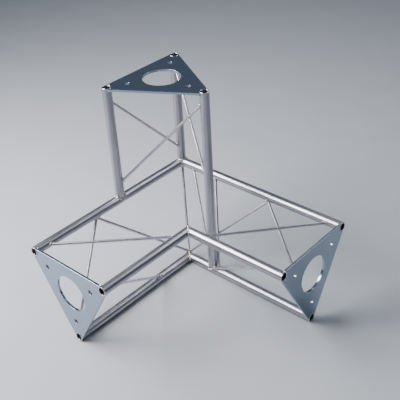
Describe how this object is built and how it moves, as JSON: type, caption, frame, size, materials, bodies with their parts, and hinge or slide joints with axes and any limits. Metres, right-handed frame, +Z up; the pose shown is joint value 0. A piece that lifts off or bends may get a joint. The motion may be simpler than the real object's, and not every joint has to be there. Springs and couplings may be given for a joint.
{
  "type": "lighting truss corner section",
  "caption": "Welded triangular lattice truss corner with two level legs and one upright leg, open chord tubes, straight bracing rods and drilled triangular end plates.",
  "frame": {"origin": "middle of the bottom face of the box round the whole corner, on the surface that the two lower chords stand on", "axes": "+X out along the right leg, -Y out along the left leg, +Z up along the upright leg"},
  "size_m": [0.4512, 0.4512, 0.45],
  "materials": {
    "chord_tube": "bright polished plating, faint drawing lines along the tube",
    "end_plate": "bright polished plating on flat plate, faint waviness",
    "brace_rod": "bright polished plating",
    "weld_metal": "plated over rippled weld beads"
  },
  "bodies": {
    "root": {"left_outer_chord": "chord_tube", "left_inner_chord": "chord_tube", "left_lower_chord": "chord_tube", "right_outer_chord": "chord_tube", "right_inner_chord": "chord_tube", "right_lower_chord": "chord_tube", "upright_corner_chord": "chord_tube", "upright_left_chord": "chord_tube", "upright_right_chord": "chord_tube", "left_end_plate": "end_plate", "right_end_plate": "end_plate", "upright_end_plate": "end_plate", "left_top_brace": "brace_rod", "left_inner_brace": "brace_rod", "left_outer_brace_long": "brace_rod", "left_outer_brace_short": "brace_rod", "right_top_brace": "brace_rod", "right_inner_brace": "brace_rod", "right_outer_brace_long": "brace_rod", "right_outer_brace_short": "brace_rod", "upright_left_brace": "brace_rod", "upright_front_brace": "brace_rod", "upright_right_brace": "brace_rod", "foot_brace_near": "brace_rod", "foot_brace_far": "brace_rod", "corner_brace": "brace_rod", "outer_joint_weld": "weld_metal", "inner_joint_weld": "weld_metal", "lower_joint_weld": "weld_metal", "upright_left_foot_weld": "weld_metal", "upright_right_foot_weld": "weld_metal", "left_plate_welds": "weld_metal", "right_plate_welds": "weld_metal", "upright_plate_welds": "weld_metal", "left_brace_welds": "weld_metal", "right_brace_welds": "weld_metal", "upright_brace_welds": "weld_metal", "foot_brace_welds": "weld_metal", "corner_brace_welds": "weld_metal"}
  },
  "joints": []
}
